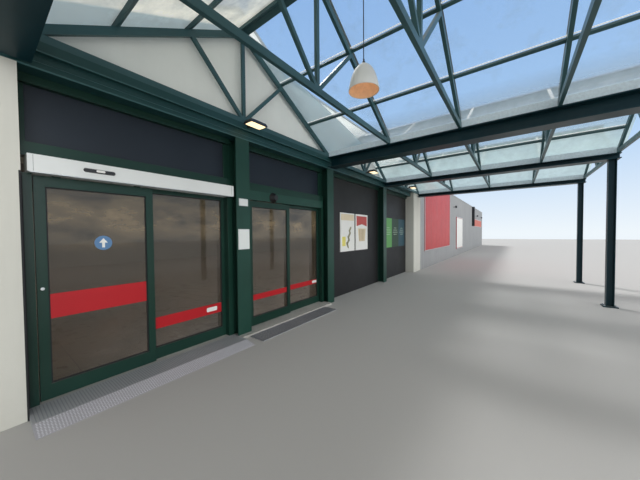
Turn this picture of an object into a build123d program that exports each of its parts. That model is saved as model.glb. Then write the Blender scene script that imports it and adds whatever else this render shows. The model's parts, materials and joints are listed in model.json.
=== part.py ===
from build123d import *
import math
import os

os.makedirs("parts", exist_ok=True)

# Single-storey food store with a steel and glass canopy along its entrance front.
# X runs along the front, Y goes into the building, Z is up. The origin is on the ground, on the
# centre line of the first doorway, 180 mm in front of the front wall.

# Building shell
left_end = -2350
wing_start = 10010
right_end = 35950
back_face = 14000
wall_face = 180
wing_face = -180
wall_t = 300
parapet_rise = 220
floor_t = 40
roof_bottom = 3500
roof_t = 200
coping_t = 30
coping_overhang = 30
coping_joint = 10

# Entrance front
door_w = 2100
door_h = 2265
column_w = 240
column_front = -60
column_flange = 17
column_web = 10
header_top = 3220
header_front = -100
header_band = 95
header_mid_h = 135
trim_front = 90
trim_h = 80
transom_h = 120
transom_front = 60
panel_t = 30
bay_panel_t = 40
pier_front = -80
right_pier_start = 9090

# Canopy steel, bays counted from the left
first_beam = -1100
bay_pitch = (4600, 3060, 3165)
bay_rise = (1285, 900, 930)
beam_w = 260
high_beam_d = 215
low_beam_d = 110
beam_flange = 16
beam_web = 10
bearing = 60
first_truss = -60
second_truss = -1456
truss_pitch = 1183
truss_count = 5
truss_w = 42
chord_s = 78
king_s = 50
brace_s = 50
beam_tip = 18
brace_node = 0.355
purlin_s = 40
purlin_lines = (0.36, 0.70)
purlin_inset = 10
ridge_half = 70
post_w = 120
post_inset = 105
post_flange = 12
post_web = 8
base_w = 220
base_t = 20

# Glass roof and gutters
glass_t = 10
glass_overhang = 15
glass_front = 60
ridge_gap = 8
cap_half = 90
cap_t = 6
gutter_side = 5
gutter_h = 30
gutter_t = 5
gable_front = 20
gable_rise = 300
screen_top = 4380

# Sliding doors, one leaf in front of one fixed screen
jamb_w = 75
frame_front = 60
frame_back = 195
leaf_front = 85
leaf_t = 45
leaf_w = 955
leaf_stile = 72
leaf_top_rail = 95
leaf_bottom_rail = 136
leaf_gap = 10
screen_front = 150
screen_stile = 50
screen_lap = 55
door_glass_t = 10
operator_h = 150
operator_side = 40
operator_fronts = (-50, 40)

# Door gear: each leaf hangs by two roller hangers in its operator's track
track_end = 20
track_lip = 20
track_w = 54
track_h = 60
hanger_inset = 150
hanger_w = 60
hanger_t = 6
roller_r = 18
roller_w = 18
roller_gap = 0.3
run_clear = 5

# Ramp of the first doorway, sill and grating of the second
ramp_front = -436
ramp_fold = -250
ramp_nose = 4
sill_front = -150
grating_x = (1190, 3120)
grating_front = -450
grating_t = 10

# Fittings
sensor_size = (250, 20, 40)
sensor_taper = 20
sensor_share = 0.25
dome_r = 90
dome_depth = 75
dome_taper = 30
dome_share = 0.28
flood_size = (300, 180, 50)
flood_rim = 10
flood_taper = 25
flood_gap = 90
flood_z = 3160
flood_shift = 45
flood_arm_w = 36
flood_arm_h = 20
lamp_y = -2070
lamp_rim_z = 3055
lamp_r = 160
lamp_h = 283
lamp_wall = 4
gland_r = 10
gland_h = 50
cable_r = 5
number_plate = (160, 107)
number_plate_below_head = 277
notice = (200, 305)
notice_z = 1332
plate_t = 6
poster_w = 710
poster_h = 990
poster_z = 1095
poster_inset = 565
poster_gap = 70
wide_poster_w = 1960
wide_poster_h = 1005
wide_poster_z = 1065
wide_poster_inset = 250
poster_t = 20

# Wing fittings, each placed from the wing's left corner
red_panel_at = 610
red_panel_w = 5490
red_panel_z = 750
red_panel_below_top = 60
board_at = 8320
board_w = 2500
board_z = 430
board_h = 2190
board_t = 40
banner_at = 18090
banner_w = 6600
banner_z = 2120
banner_h = 740
panel_sheet = 20
blade_at = 16500
blade_w = 60
blade_reach = 220
blade_z = 2130
blade_h = 1780
wing_lamps_at = (7380, 19415, 23535)
wing_lamp_z = 3200
wing_lamp_reach = 160
wing_lamp_r = 55
wing_lamp_h = 150
wing_arm_r = 14


# Derived grid
front_start = -door_w / 2
beam_lines = [first_beam + sum(bay_pitch[:i]) for i in range(len(bay_pitch) + 1)]
beam_tops = [header_top, header_top, header_top - header_band, header_top - header_band]
beam_ds = [high_beam_d, high_beam_d, low_beam_d, low_beam_d]
column_1 = front_start + door_w + column_w / 2
column_2 = front_start + 2 * door_w + 1.5 * column_w
column_lines = (column_1, column_2, beam_lines[2])
column_d = wall_face - column_front
door_starts = (front_start, front_start + door_w + column_w)
doors_end = door_starts[1] + door_w
later_trusses = [second_truss - truss_pitch * i for i in range(truss_count - 1)]
beam_end = later_trusses[-1] - truss_w / 2 - beam_tip
bay_truss_lines = [[y] + later_trusses
                   for y in (first_truss, header_front - truss_w / 2, wing_face - truss_w / 2)]
wall_back = wall_face + wall_t
spans = [(front_start, column_1 - column_w / 2)]
spans += [(a + column_w / 2, b - column_w / 2) for a, b in zip(column_lines, column_lines[1:])]
spans += [(column_lines[-1] + column_w / 2, right_pier_start)]
head_low = header_top - header_band - header_mid_h
parapet_h = roof_bottom + roof_t + parapet_rise
leaf_middle = leaf_front + leaf_t / 2


def box(x0, x1, y0, y1, z0, z1):
    """A box between two values on each axis."""
    return Pos((x0 + x1) / 2, (y0 + y1) / 2, (z0 + z1) / 2) * Box(x1 - x0, y1 - y0, z1 - z0)


def outline(out):
    """The shell's plan, moved outwards by out: the wing stands forward of the entrance front."""
    return [(left_end - out, wall_face - out), (wing_start - out, wall_face - out),
            (wing_start - out, wing_face - out), (right_end + out, wing_face - out),
            (right_end + out, back_face + out), (left_end - out, back_face + out)]


def plan_face(points):
    return make_face(Polyline(*points, close=True))


def upright(x, y, z):
    """A plane that faces the street, with its own x to the right and y up."""
    return Plane(origin=(x, y, z), x_dir=(1, 0, 0), z_dir=(0, -1, 0))


def front_face(points):
    """A face in the XZ plane from (x, z) points, to be extruded along Y."""
    return make_face(Polyline(*[(x, 0, z) for x, z in points], close=True))


def along_y(points, y0, y1):
    """A prism of the XZ outline between two Y values."""
    return Pos(0, y1, 0) * extrude(front_face(points), amount=y1 - y0, dir=(0, -1, 0))


def side_prism(points, x0, x1):
    """A prism of the (y, z) outline between two X values."""
    face = make_face(Polyline(*[(x0, y, z) for y, z in points], close=True))
    return extrude(face, amount=x1 - x0, dir=(1, 0, 0))


def h_profile(width, depth, flange, web):
    edge = (depth - flange) / 2
    sides = Pos(0, edge) * Rectangle(width, flange) + Pos(0, -edge) * Rectangle(width, flange)
    return sides + Rectangle(web, depth - flange)


def fuse(shapes):
    total = shapes[0]
    for shape in shapes[1:]:
        total = total + shape
    return total


# Building shell

def floor_slab():
    return extrude(plan_face(outline(-wall_t)), amount=floor_t)


def thresholds():
    """The floor's tongues through the doorways. The second runs on into a sill past the first column."""
    first, second = [box(x, x + door_w, frame_front, wall_back, 0, floor_t) for x in door_starts]
    sill = box(door_starts[1], doors_end, column_front, frame_front, 0, floor_t)
    lip = box(door_starts[0] + door_w, doors_end, sill_front, column_front, 0, floor_t)
    return [first, second + sill + lip]


def front_walls():
    """The front wall beside and between the doorways."""
    return [box(left_end, front_start, wall_face, wall_back, 0, parapet_h),
            box(front_start + door_w, door_starts[1], wall_face, wall_back, 0, door_h),
            box(doors_end, wing_start, wall_face, wall_back, 0, parapet_h)]


def end_walls():
    y1 = back_face - wall_t
    return [box(left_end, left_end + wall_t, wall_back, y1, 0, parapet_h),
            box(right_end - wall_t, right_end, wing_face + wall_t, y1, 0, parapet_h)]


def plaster_piers():
    return [box(left_end, front_start, pier_front, wall_face, 0, head_low),
            box(right_pier_start, wing_start, wing_face, wall_face, 0, header_top)]


def wing_wall():
    front = box(wing_start, right_end, wing_face, wing_face + wall_t, 0, parapet_h)
    back = box(wing_start, wing_start + wall_t, wing_face + wall_t, wall_back, 0, parapet_h)
    return front + back


def roof_slab():
    return Pos(0, 0, roof_bottom) * extrude(plan_face(outline(-wall_t)), amount=roof_t)


def parapet_coping():
    """Straight cap lengths over the outer walls, flush on the two sides where the gables stand."""
    out = coping_overhang
    inner = wall_t + out
    z0, z1 = parapet_h, parapet_h + coping_t
    front_x1 = wing_start - coping_joint
    side_y0 = wall_back + out + coping_joint
    side_y1 = back_face - inner - coping_joint
    wing_x1 = right_end + out
    return [box(left_end - out, front_x1, wall_face, wall_back + out, z0, z1),
            box(wing_start, wing_x1, wing_face - out, wing_face + inner, z0, z1),
            box(wing_start, wing_start + inner, wing_face + inner + coping_joint, wall_back + out, z0, z1),
            box(wing_x1 - inner - out, wing_x1, wing_face + inner + coping_joint, side_y1, z0, z1),
            box(left_end - out, wing_x1, back_face - inner, back_face + out, z0, z1),
            box(left_end - out, left_end + inner, side_y0, side_y1, z0, z1)]


# Canopy steel

def steps_down(i):
    """Whether a bay lies lower than the beam on its left and hangs on that beam's side."""
    return beam_tops[i] > beam_tops[i + 1]


def bay_frame(i):
    """Rafter ends, ridge line and slope of a bay, from the steel that carries it."""
    left = beam_lines[i] + beam_w / 2 - (0 if steps_down(i) else bearing)
    right = beam_lines[i + 1] - beam_w / 2 + bearing
    slope = math.atan2(bay_rise[i], (right - left) / 2)
    return left, (left + right) / 2, right, slope


def chevron(middle, half, crown, slope, thick):
    """An upturned V with vertical ends: crown is its lower point at the ridge."""
    drop = half * math.tan(slope)
    rise = thick / math.cos(slope)
    return [(middle - half, crown - drop), (middle, crown), (middle + half, crown - drop),
            (middle + half, crown - drop + rise), (middle, crown + rise),
            (middle - half, crown - drop + rise)]


def rafter_crown(i):
    """Height of the rafters' underside at the ridge."""
    left, middle, right, slope = bay_frame(i)
    return beam_tops[i + 1] + (middle - left) * math.tan(slope)


def roof_z(i, x, lift):
    """Height at x of the plane that lies lift above the rafters' underside, square to the slope."""
    left, middle, right, slope = bay_frame(i)
    return rafter_crown(i) - abs(x - middle) * math.tan(slope) + lift / math.cos(slope)


def bar(p, q, size, y):
    """A bar as wide as the truss between two XZ points."""
    length = math.dist(p, q)
    angle = math.degrees(math.atan2(q[1] - p[1], q[0] - p[0]))
    place = Pos((p[0] + q[0]) / 2, y, (p[1] + q[1]) / 2) * Rot(0, -angle, 0)
    return place * Box(length, truss_w, size)


def truss(i, y):
    """A king-post truss as six straight members, each cut to fit the ones that it meets."""
    left, middle, right, slope = bay_frame(i)
    y0, y1 = y - truss_w / 2, y + truss_w / 2
    base = beam_tops[i + 1]
    top = rafter_crown(i) + chord_s / math.cos(slope)
    start = beam_lines[i] + beam_web / 2 if steps_down(i) else left
    chord = box(start, right, y0, y1, base, base + chord_s)
    pair = along_y(chevron(middle, middle - left, rafter_crown(i), slope, chord_s), y0, y1) - chord
    king = box(middle - king_s / 2, middle + king_s / 2, y0, y1,
               base + chord_s, rafter_crown(i) + chord_s / 2) - pair
    members = {"chord": chord, "king": king}
    for name, side, x0, x1 in (("left", -1, left, middle), ("right", 1, middle, right)):
        members[name + "_rafter"] = pair & box(x0, x1, y0, y1, base, top)
        x = middle + side * (middle - left) * brace_node
        node = (x, roof_z(i, x, chord_s / 2))
        brace = bar((middle, base + chord_s / 2), node, brace_s, y)
        members[name + "_brace"] = brace - chord - king - pair
    return members


def purlins(i):
    """A ridge piece, and two purlins to each slope, laid on the rafters' tops."""
    left, middle, right, slope = bay_frame(i)
    half = middle - left
    y0, y1 = beam_end + purlin_inset, gable_front
    lift = chord_s / math.cos(slope)
    pieces = [along_y(chevron(middle, ridge_half, rafter_crown(i) + lift, slope, purlin_s), y0, y1)]
    for side in (-1, 1):
        for share in purlin_lines:
            x = middle + side * half * share
            z = roof_z(i, x, chord_s + purlin_s / 2)
            place = Pos(x, (y0 + y1) / 2, z) * Rot(0, side * math.degrees(slope), 0)
            pieces.append(place * Box(purlin_s, y1 - y0, purlin_s))
    return pieces


def glass_sheets(i):
    left, middle, right, slope = bay_frame(i)
    half = middle - left + glass_overhang
    lower = chord_s + purlin_s
    sheets = []
    for side in (-1, 1):
        x0, x1 = middle + side * ridge_gap, middle + side * half
        points = [(x0, roof_z(i, x0, lower)), (x1, roof_z(i, x1, lower)),
                  (x1, roof_z(i, x1, lower + glass_t)), (x0, roof_z(i, x0, lower + glass_t))]
        sheets.append(along_y(points, beam_end - glass_front, gable_front))
    return sheets


def ridge_cap(i):
    left, middle, right, slope = bay_frame(i)
    crown = rafter_crown(i) + (chord_s + purlin_s + glass_t) / math.cos(slope)
    return along_y(chevron(middle, cap_half, crown, slope, cap_t), beam_end - glass_front, gable_front)


def beam(n):
    """A canopy beam from the front: the low ones pass under the header's upper band."""
    start = header_front if beam_tops[n] == header_top else column_front
    if beam_lines[n] > right_pier_start:
        start = wing_face
    plane = upright(beam_lines[n], start, beam_tops[n] - beam_ds[n] / 2)
    section = plane * h_profile(beam_w, beam_ds[n], beam_flange, beam_web)
    return extrude(section, amount=start - beam_end, dir=(0, -1, 0))


def street_post(n):
    x, y = beam_lines[n], beam_end + post_inset
    shaft = extrude(h_profile(post_w, post_w, post_flange, post_web), beam_tops[n] - beam_ds[n])
    base = Pos(0, 0, base_t / 2) * Box(base_w, base_w, base_t)
    return Pos(x, y, 0) * (shaft + base)


def gutter(n):
    """A shallow gutter on a beam's top flange, between the truss ends of the bays that it drains."""
    half = beam_w / 2 - bearing - gutter_side
    x0 = bay_frame(n - 1)[2] + gutter_side if n > 0 else beam_lines[n] - half
    x1 = bay_frame(n)[0] - gutter_side if n < len(bay_pitch) else beam_lines[n] + half
    y1 = gable_front if beam_tops[n] == header_top else header_front
    if beam_lines[n] > right_pier_start:
        y1 = wing_face
    z = beam_tops[n]
    profile = [(x0, z), (x1, z), (x1, z + gutter_h), (x1 - gutter_t, z + gutter_h),
               (x1 - gutter_t, z + gutter_t), (x0 + gutter_t, z + gutter_t),
               (x0 + gutter_t, z + gutter_h), (x0, z + gutter_h)]
    return along_y(profile, beam_end, y1)


# Entrance front

def facade_column(x):
    section = h_profile(column_w, column_d, column_flange, column_web)
    return Pos(x, column_front + column_d / 2, 0) * extrude(section, head_low)


def header():
    """The stepped steel head over the front."""
    mid = header_top - header_band
    points = [(column_front, head_low), (wall_face, head_low), (wall_face, header_top),
              (header_front, header_top), (header_front, mid), (column_front, mid)]
    return side_prism(points, left_end, right_pier_start)


def header_trims():
    return [box(a, b, trim_front, wall_face, head_low - trim_h, head_low) for a, b in spans]


def gables(y0):
    """The wall above the header: level, with a gable where a roof stands higher than its top."""
    parts = [box(left_end, wing_start, y0, wall_face, header_top, screen_top)]
    for i in range(len(bay_pitch)):
        left, middle, right, slope = bay_frame(i)
        roof_top = roof_z(i, middle, chord_s + purlin_s + glass_t)
        if roof_top > screen_top:
            peak = roof_top + gable_rise
            reach = (peak - header_top) / math.tan(slope)
            corners = [(middle - reach, header_top), (middle + reach, header_top), (middle, peak)]
            parts.append(along_y(corners, y0, wall_face))
    return fuse(parts)


def gable_coping():
    """A cap of even height on the gables' top line, with its drip in front."""
    area = gables(gable_front - coping_overhang)
    return Pos(0, 0, coping_t) * area - area


def fascia_panels():
    top = head_low - trim_h
    return [box(a, b, wall_face - panel_t, wall_face, door_h + transom_h, top) for a, b in spans[:2]]


def bay_panels():
    top = head_low - trim_h
    return [box(a, b, wall_face - bay_panel_t, wall_face, 0, top) for a, b in spans[2:]]


def transoms():
    return [box(x, x + door_w, transom_front, wall_face, door_h, door_h + transom_h) for x in door_starts]


# Doors

def door_frame(x):
    """Two jambs and the fixed screen's frame."""
    head = door_h - operator_h
    screen_x0 = x + jamb_w + leaf_gap + leaf_w - screen_lap
    screen_x1 = x + door_w - jamb_w
    jambs = [box(x, x + jamb_w, frame_front, frame_back, floor_t, head),
             box(screen_x1, x + door_w, frame_front, frame_back, floor_t, head)]
    frame = box(screen_x0, screen_x1, screen_front, frame_back, floor_t, head)
    hole = box(screen_x0 + screen_stile, screen_x1 - screen_stile, screen_front, frame_back,
               floor_t + leaf_bottom_rail, head - screen_stile)
    return fuse(jambs + [frame - hole])


def side_glass(x):
    middle = (screen_front + frame_back) / 2
    return box(x + jamb_w + leaf_gap + leaf_w - screen_lap + screen_stile,
               x + door_w - jamb_w - screen_stile,
               middle - door_glass_t / 2, middle + door_glass_t / 2,
               floor_t + leaf_bottom_rail, door_h - operator_h - screen_stile)


def leaf_box(x, margin, y0, y1):
    """The leaf's rectangle, or its glass opening where margin is 1."""
    x0 = x + jamb_w + leaf_gap
    z0 = floor_t + leaf_gap
    z1 = door_h - operator_h - leaf_gap
    return box(x0 + margin * leaf_stile, x0 + leaf_w - margin * leaf_stile, y0, y1,
               z0 + margin * leaf_bottom_rail, z1 - margin * leaf_top_rail)


def hanger(x):
    """A plate that stands on the leaf's top rail, with a roller on each side over the track's lips."""
    z = door_h - operator_h + track_lip + roller_gap + roller_r
    plate = box(x - hanger_w / 2, x + hanger_w / 2, leaf_middle - hanger_t / 2, leaf_middle + hanger_t / 2,
                door_h - operator_h - leaf_gap, z + roller_r / 2)
    rollers = upright(x, leaf_middle, z) * Cylinder(roller_r, hanger_t + 2 * roller_w)
    return plate + rollers


def door_leaf(x):
    frame = leaf_box(x, 0, leaf_front, leaf_front + leaf_t)
    frame = frame - leaf_box(x, 1, leaf_front, leaf_front + leaf_t)
    start = x + jamb_w + leaf_gap
    return frame + hanger(start + hanger_inset) + hanger(start + leaf_w - hanger_inset)


def leaf_glass(x):
    return leaf_box(x, 1, leaf_middle - door_glass_t / 2, leaf_middle + door_glass_t / 2)


def operator(x, front):
    """The drive's housing over a doorway, with the track that the leaf's rollers run in."""
    low = door_h - operator_h
    x0, x1 = x + operator_side, x + door_w - operator_side
    slot = hanger_t / 2 + run_clear
    neck = box(x0 + track_end, x1 - track_end, leaf_middle - slot, leaf_middle + slot, low, low + track_lip)
    track = box(x0 + track_end, x1 - track_end, leaf_middle - track_w / 2, leaf_middle + track_w / 2,
                low + track_lip, low + track_lip + track_h)
    return box(x0, x1, front, wall_face, low, door_h) - neck - track


def door_sensors():
    """A flat radar bar on the first housing and a domed one on the second."""
    z = door_h - operator_h / 2
    length, depth, height = sensor_size
    flat_x = door_starts[0] + door_w * sensor_share
    dome_x = door_starts[1] + door_w * dome_share
    flat = upright(flat_x, operator_fronts[0], z) * SlotOverall(length, height)
    dome = upright(dome_x, operator_fronts[1], z) * Circle(dome_r)
    return [extrude(flat, amount=depth, taper=sensor_taper),
            extrude(dome, amount=dome_depth, taper=dome_taper)]


def ramps():
    """A folded ramp plate before the first doorway and a flat grating before the second's sill."""
    profile = [(ramp_front, 0), (frame_front, 0), (frame_front, floor_t), (ramp_fold, floor_t),
               (ramp_front, ramp_nose)]
    return [side_prism(profile, door_starts[0], door_starts[0] + door_w),
            box(*grating_x, grating_front, sill_front, 0, grating_t)]


# Fittings

def posters():
    """Two framed posters on the second bay's panel and a wide one on the third's."""
    face = wall_face - bay_panel_t
    x = spans[2][0] + poster_inset
    places = [(x, poster_w, poster_z, poster_h),
              (x + poster_w + poster_gap, poster_w, poster_z, poster_h),
              (spans[3][0] + wide_poster_inset, wide_poster_w, wide_poster_z, wide_poster_h)]
    return [box(x0, x0 + w, face - poster_t, face, z0, z0 + h) for x0, w, z0, h in places]


def plates():
    """A number plate and a notice, one above the other on the first column."""
    face = column_front
    pieces = []
    for (width, height), z in ((number_plate, door_h - number_plate_below_head), (notice, notice_z)):
        pieces.append(box(column_1 - width / 2, column_1 + width / 2, face - plate_t, face, z, z + height))
    return pieces


def floodlights():
    """A flat lamp on an arm before each bay's first truss: a rim, and a housing that narrows upwards."""
    length, depth, height = flood_size
    lamps = []
    for i in range(len(bay_pitch)):
        back = min(header_front, bay_truss_lines[i][0] - truss_w / 2)
        rim = Pos(0, 0, flood_rim / 2) * Box(length, depth, flood_rim)
        body = extrude(Pos(0, 0, flood_rim) * Rectangle(length, depth), height - flood_rim, taper=flood_taper)
        arm = box(-flood_arm_w / 2, flood_arm_w / 2, 0, depth / 2 + flood_gap,
                  flood_rim, flood_rim + flood_arm_h)
        place = Pos(bay_frame(i)[1] + flood_shift, back - flood_gap - depth / 2, flood_z)
        lamps.append(place * (rim + body + arm))
    return lamps


def bell(radius, height):
    """The pendant shade's half outline, from its rim up to the axis."""
    shares = ((1, 0), (0.89, 0.38), (0.7, 0.68), (0.4, 0.9), (0, 1))
    return Polyline(*[(radius * r, 0, height * z) for r, z in shares])


def pendant_lamp():
    """A bell shade of even wall, open below, with a gland for the cable."""
    outer = bell(lamp_r, lamp_h)
    inner = bell(lamp_r - lamp_wall, lamp_h - lamp_wall)
    edges = [outer, Line(outer @ 1, inner @ 1), inner, Line(inner @ 0, outer @ 0)]
    shade = revolve(make_face(edges), axis=Axis.Z)
    gland = Pos(0, 0, lamp_h + (gland_h - lamp_wall) / 2) * Cylinder(gland_r, gland_h + lamp_wall)
    return Pos(bay_frame(0)[1], lamp_y, lamp_rim_z) * (shade + gland)


def pendant_cable():
    x = bay_frame(0)[1]
    top = roof_z(0, x + cable_r, chord_s)
    bottom = lamp_rim_z + lamp_h + gland_h
    return Pos(x, lamp_y, (top + bottom) / 2) * Cylinder(cable_r, top - bottom)


def wing_fitting(at, width, depth, z, height):
    x = wing_start + at
    return box(x, x + width, wing_face - depth, wing_face, z, z + height)


def wing_panels():
    """Flat panels and a blade sign on the wing's front."""
    red_h = parapet_h - red_panel_below_top - red_panel_z
    return [wing_fitting(red_panel_at, red_panel_w, panel_sheet, red_panel_z, red_h),
            wing_fitting(board_at, board_w, board_t, board_z, board_h),
            wing_fitting(blade_at, blade_w, blade_reach, blade_z, blade_h),
            wing_fitting(banner_at, banner_w, panel_sheet, banner_z, banner_h)]


def wing_lamps():
    """Spot lamps on short arms, one beside the board and two above the banner."""
    lamps = []
    for at in wing_lamps_at:
        x = wing_start + at
        arm = upright(x, wing_face - wing_lamp_reach / 2, wing_lamp_z) * Cylinder(wing_arm_r, wing_lamp_reach)
        head = Pos(x, wing_face - wing_lamp_reach, wing_lamp_z) * Cylinder(wing_lamp_r, wing_lamp_h)
        lamps.append(arm + head)
    return lamps


trusses = [truss(i, y) for i in range(len(bay_pitch)) for y in bay_truss_lines[i]]
nodes = {
    "floor": floor_slab(),
    "thresholds": thresholds(),
    "front_walls": front_walls(),
    "front_wall_over_doors": box(front_start, doors_end, wall_face, wall_back, door_h, parapet_h),
    "wing_wall": wing_wall(),
    "end_walls": end_walls(),
    "back_wall": box(left_end, right_end, back_face - wall_t, back_face, 0, parapet_h),
    "roof_slab": roof_slab(),
    "parapet_coping": parapet_coping(),
    "plaster_piers": plaster_piers(),
    "gable_wall": gables(gable_front),
    "gable_coping": gable_coping(),
    "facade_columns": [facade_column(x) for x in column_lines],
    "header": header(),
    "header_trims": header_trims(),
    "beams": [beam(n) for n in range(len(beam_lines))],
    "street_posts": [street_post(n) for n in range(len(beam_lines))],
    "truss_chords": [t["chord"] for t in trusses],
    "truss_left_rafters": [t["left_rafter"] for t in trusses],
    "truss_right_rafters": [t["right_rafter"] for t in trusses],
    "truss_king_posts": [t["king"] for t in trusses],
    "truss_left_braces": [t["left_brace"] for t in trusses],
    "truss_right_braces": [t["right_brace"] for t in trusses],
    "purlins": purlins(0) + purlins(1) + purlins(2),
    "roof_glass": glass_sheets(0) + glass_sheets(1) + glass_sheets(2),
    "ridge_caps": [ridge_cap(i) for i in range(len(bay_pitch))],
    "gutters": [gutter(n) for n in range(len(beam_lines))],
    "fascia_panels": fascia_panels(),
    "bay_panels": bay_panels(),
    "door_frames": [door_frame(x) for x in door_starts] + transoms(),
    "side_glass": [side_glass(x) for x in door_starts],
    "door_1_leaf": door_leaf(door_starts[0]),
    "door_1_leaf_glass": leaf_glass(door_starts[0]),
    "door_2_leaf": door_leaf(door_starts[1]),
    "door_2_leaf_glass": leaf_glass(door_starts[1]),
    "operator_1": operator(door_starts[0], operator_fronts[0]),
    "operator_2": operator(door_starts[1], operator_fronts[1]),
    "door_sensors": door_sensors(),
    "ramps": ramps(),
    "posters": posters(),
    "plates": plates(),
    "floodlights": floodlights(),
    "pendant_lamp": pendant_lamp(),
    "pendant_cable": pendant_cable(),
    "wing_panels": wing_panels(),
    "wing_lamps": wing_lamps(),
}

for name, shape in nodes.items():
    if isinstance(shape, list):
        shape = Compound(children=shape)
    export_step(shape, f"parts/{name}.step")
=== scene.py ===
import json
import math

import bmesh
import bpy
from mathutils import Matrix, Vector


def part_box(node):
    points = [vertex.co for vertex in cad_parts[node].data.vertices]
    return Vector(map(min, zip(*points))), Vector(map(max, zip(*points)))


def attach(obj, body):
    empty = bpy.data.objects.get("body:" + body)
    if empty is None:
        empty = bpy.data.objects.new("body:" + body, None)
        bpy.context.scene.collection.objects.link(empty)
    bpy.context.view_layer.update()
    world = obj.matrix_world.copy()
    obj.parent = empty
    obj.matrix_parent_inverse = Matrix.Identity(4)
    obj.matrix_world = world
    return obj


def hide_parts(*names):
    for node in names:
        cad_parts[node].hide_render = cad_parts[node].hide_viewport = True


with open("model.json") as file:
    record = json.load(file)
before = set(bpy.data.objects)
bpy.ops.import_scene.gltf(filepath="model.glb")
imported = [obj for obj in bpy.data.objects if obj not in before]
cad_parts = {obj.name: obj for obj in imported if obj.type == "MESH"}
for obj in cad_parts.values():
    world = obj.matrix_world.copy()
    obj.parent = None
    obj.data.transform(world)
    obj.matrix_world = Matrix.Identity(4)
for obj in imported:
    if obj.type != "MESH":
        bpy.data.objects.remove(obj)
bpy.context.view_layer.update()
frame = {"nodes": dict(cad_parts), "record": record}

nodes = frame["nodes"]
scene = bpy.context.scene

# Camera, at the photograph's place: metres in the frame, degrees
camera_at = (-1.310, -3.352, 1.562)
camera_heading = 36.73
camera_pitch = -1.43
camera_roll = -0.47
camera_lens = 14.66
sensor_width = 36.0
clip_near = 0.05
clip_far = 500

# Surroundings
sky_low = (0.86, 0.93, 0.98)
sky_mid = (0.40, 0.62, 0.92)
sky_high = (0.24, 0.44, 0.82)
ground_colour = (0.50, 0.49, 0.47)
ground_size = 120.0
ground_at = (10, 0, -0.002)
world_strength = 0.68
key_strength = 2.2
key_softness = 10
key_from = (0.50, 0.62, 0.95)
fill_strength = 2.0
fill_softness = 40
fill_from = (-0.30, -0.95, 0.08)
hall_power = 500.0
hall_lamp_size = (30.0, 10.0)
hall_lamp_at = (16.0, 7.0, 3.40)

# Canopy layout, as in the CAD
beam_lines = (-1.100, 3.500, 6.560, 9.725)
beam_tops = (3.220, 3.220, 3.125, 3.125)
bay_rises = (1.285, 0.900, 0.930)
beam_half = 0.130
bearing = 0.060
chord_s = 0.078
purlin_s = 0.040
purlin_lines = (0.36, 0.70)
first_ridge = 1.200
glass_t = 0.010
glass_edge = 0.015
roof_front = -5.104
roof_back = 0.020
beam_front = -5.044
closer_backs = (roof_back, -0.100, -0.180)
ridge_gap = 0.008
sheet_joints = (-1.456, -2.639, -3.822)

# Doors and ramp, as in the CAD
door_pitch = 2.340
doorway_left = -1.050
doorway_w = 2.100
leaf_pane_w = 0.811
screen_pane = (-0.015, 0.925)
ramp_front = -0.436
ramp_fold = -0.250
ramp_back = 0.055
ramp_edge = 0.004
ramp_top = 0.040

# Wing and parapet, as in the CAD: panels are left, right, foot and top
wing_left = 10.400
wing_front = -0.180
red_panel = (10.620, 16.110, 0.750, 3.860)
board = (18.330, 20.830, 0.430, 2.620)
blade = (26.510, 26.570, 2.130, 3.910)
banner = (28.100, 34.700, 2.120, 2.860)
building_left = -2.380
cap_pitch = 2.400
back_caps = 15
wing_caps = 10
end_caps = 5
cap_levels = (3.918, 3.953)

# Thin parts of the scene
film = 0.0008
print_film = 0.001
gasket_w = 0.011
gasket_out = 0.006
fine_edge = 0.001
# reach of the wall's painted shadow on the roof glass, at the wall
wall_shadow_reach = 0.07

# Colours as painted; some are lighter or darker copies of one paint, as painted light and shade
steel_green = (0.003, 0.030, 0.040)
# painted light: the trusses' green is the steel green made lighter, for faces lit by the sky
truss_lit_green = (0.042, 0.105, 0.115)
# painted light and shade: the head's green is the steel green toned for its light, darker than the trusses
# for the shade in its web and lighter than the beams for its lit front
header_light_shade_green = (0.013, 0.058, 0.059)
# painted highlight: a lighter copy of the steel green for the head's lit edges
edge_highlight_green = (0.055, 0.140, 0.145)
# painted light: the columns' green is the door frames' green made lighter, for their lit flanges
column_lit_green = (0.014, 0.055, 0.040)
door_green = (0.009, 0.037, 0.026)
plaster_white = (0.64, 0.64, 0.58)
# painted shade: the wing's grey is the white render darkened, for a white wall in shade
wing_shaded_white = (0.33, 0.34, 0.345)
# painted light: the gable's white is brighter than the render's, for light under the glass roof
gable_lit_white = (0.92, 0.95, 0.92)
anthracite = (0.015, 0.022, 0.032)
panel_grey = (0.017, 0.0165, 0.0165)
cover_white = (0.74, 0.77, 0.76)
red_film = (0.44, 0.012, 0.018)
wing_red = (0.48, 0.045, 0.045)
banner_red = (0.56, 0.10, 0.05)
dust = (0.30, 0.28, 0.23)
splashed = (0.16, 0.14, 0.11)
# painted shadow: the bluish colour of the wall's shadow on the roof glass
wall_shadow_blue = (0.60, 0.80, 0.90)
glass_dark = (0.050, 0.040, 0.028)
# painted reflections: the door glass's colour bands by height
glass_reflection_bands = ((0.0, (0.110, 0.074, 0.050)), (0.35, (0.070, 0.048, 0.034)), (0.62, (0.060, 0.048, 0.034)),
               (0.80, (0.330, 0.245, 0.140)), (1.0, (0.080, 0.070, 0.040)))


# Materials

def material(name):
    """A new node material and its parts."""
    mat = bpy.data.materials.new(name)
    mat.use_nodes = True
    tree = mat.node_tree
    return mat, tree, tree.nodes["Principled BSDF"]


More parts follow.
